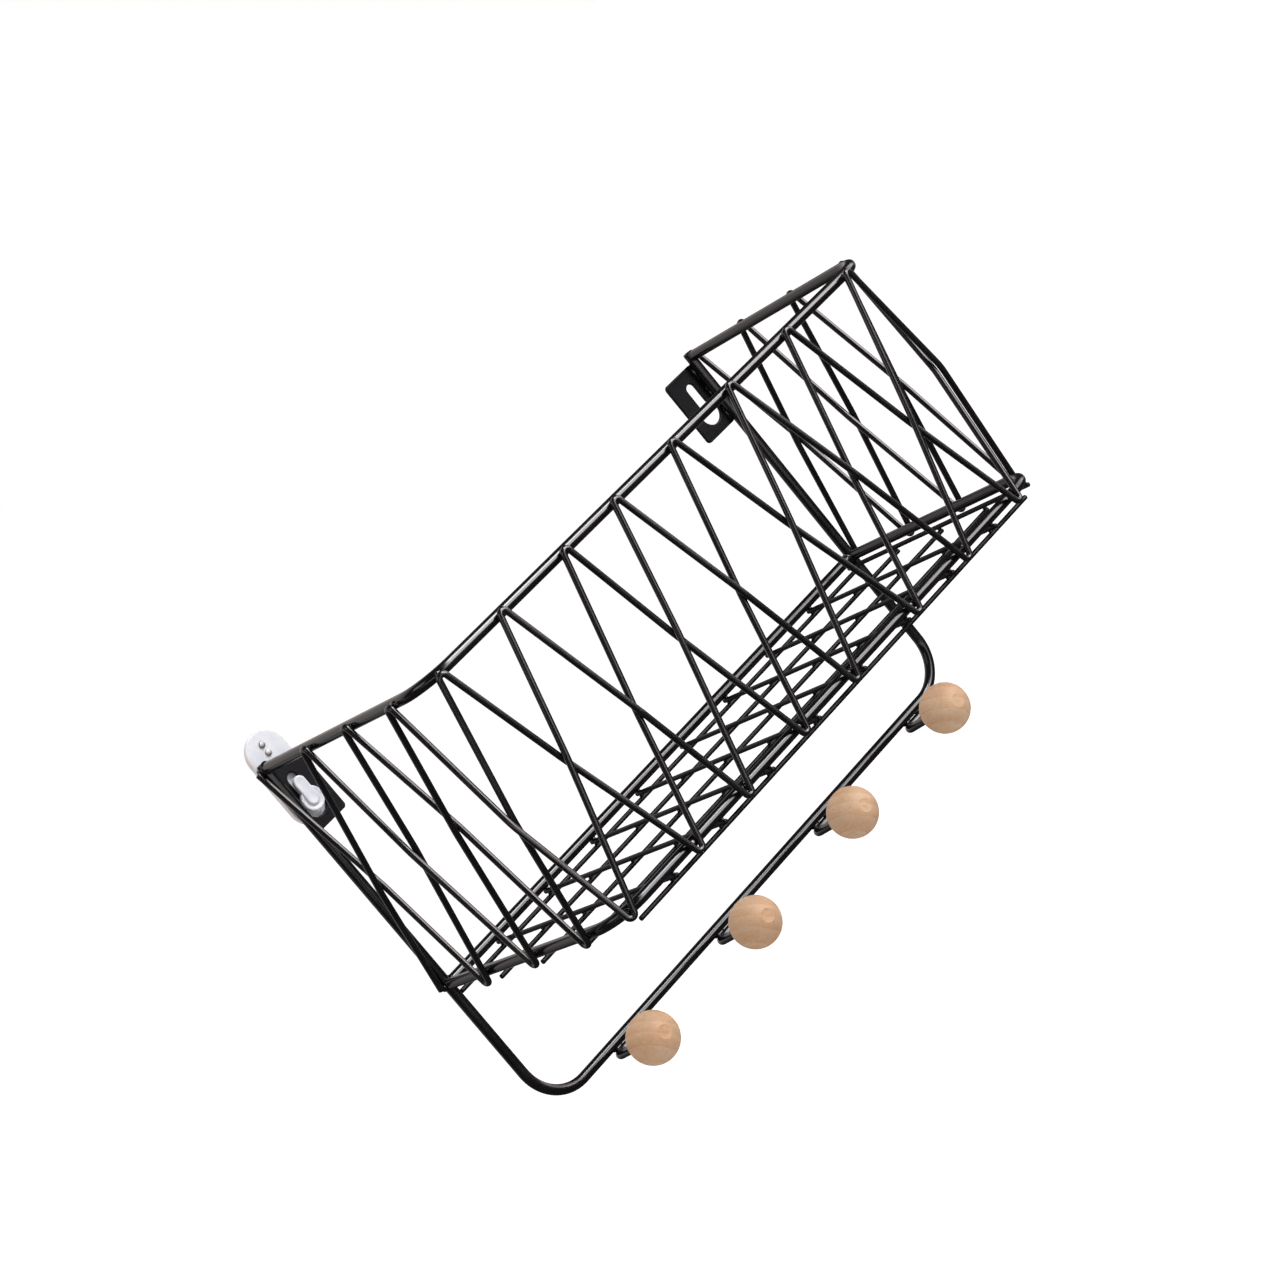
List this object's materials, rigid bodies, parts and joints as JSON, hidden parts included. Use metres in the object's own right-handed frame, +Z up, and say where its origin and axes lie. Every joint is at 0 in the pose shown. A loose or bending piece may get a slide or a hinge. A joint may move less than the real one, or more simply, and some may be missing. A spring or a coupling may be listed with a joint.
{
  "type": "wall organizer",
  "caption": "Wall organizer of black wire: lattice basket with a gridded floor over a rail with wooden ball hooks, hung by two keyhole plates",
  "frame": {"origin": "midway between the seats of the two keyholes, on the back faces of the plates, where the rack meets the wall", "axes": "+X along the rack to its right, seen from the front; +Y into the wall; the front faces -Y; +Z up"},
  "size_m": [0.2627, 0.1361, 0.1768],
  "materials": {
    "black_paint": "gloss",
    "beech": "satin",
    "milky_plastic": "gloss, translucent",
    "dark_steel": "dull"
  },
  "bodies": {
    "rack": {"back_frame": "black_paint", "top_rim": "black_paint", "bottom_rim": "black_paint", "bottom_back_bar": "black_paint", "lattice_wire_a": "black_paint", "lattice_wire_b": "black_paint", "floor_cross_wire_1": "black_paint", "floor_cross_wire_2": "black_paint", "floor_cross_wire_3": "black_paint", "floor_cross_wire_4": "black_paint", "floor_cross_wire_5": "black_paint", "floor_cross_wire_6": "black_paint", "floor_cross_wire_7": "black_paint", "floor_cross_wire_8": "black_paint", "floor_cross_wire_9": "black_paint", "floor_long_wire_1": "black_paint", "floor_long_wire_2": "black_paint", "floor_long_wire_3": "black_paint", "floor_long_wire_4": "black_paint", "floor_long_wire_5": "black_paint", "bracket_left": "black_paint", "bracket_right": "black_paint", "hook_wire_1": "black_paint", "hook_wire_2": "black_paint", "hook_wire_3": "black_paint", "hook_wire_4": "black_paint", "hook_ball_1": "beech", "hook_ball_2": "beech", "hook_ball_3": "beech", "hook_ball_4": "beech"},
    "hook_on_wall": {"wall_hook": "milky_plastic", "wall_pin_1": "dark_steel", "wall_pin_2": "dark_steel"}
  },
  "joints": [
    {"name": "hang_slide", "type": "slide", "parent": "rack", "child": "hook_on_wall", "axis": [0, 0, 1], "range_m": [-0.0019, 0.0093]}
  ]
}
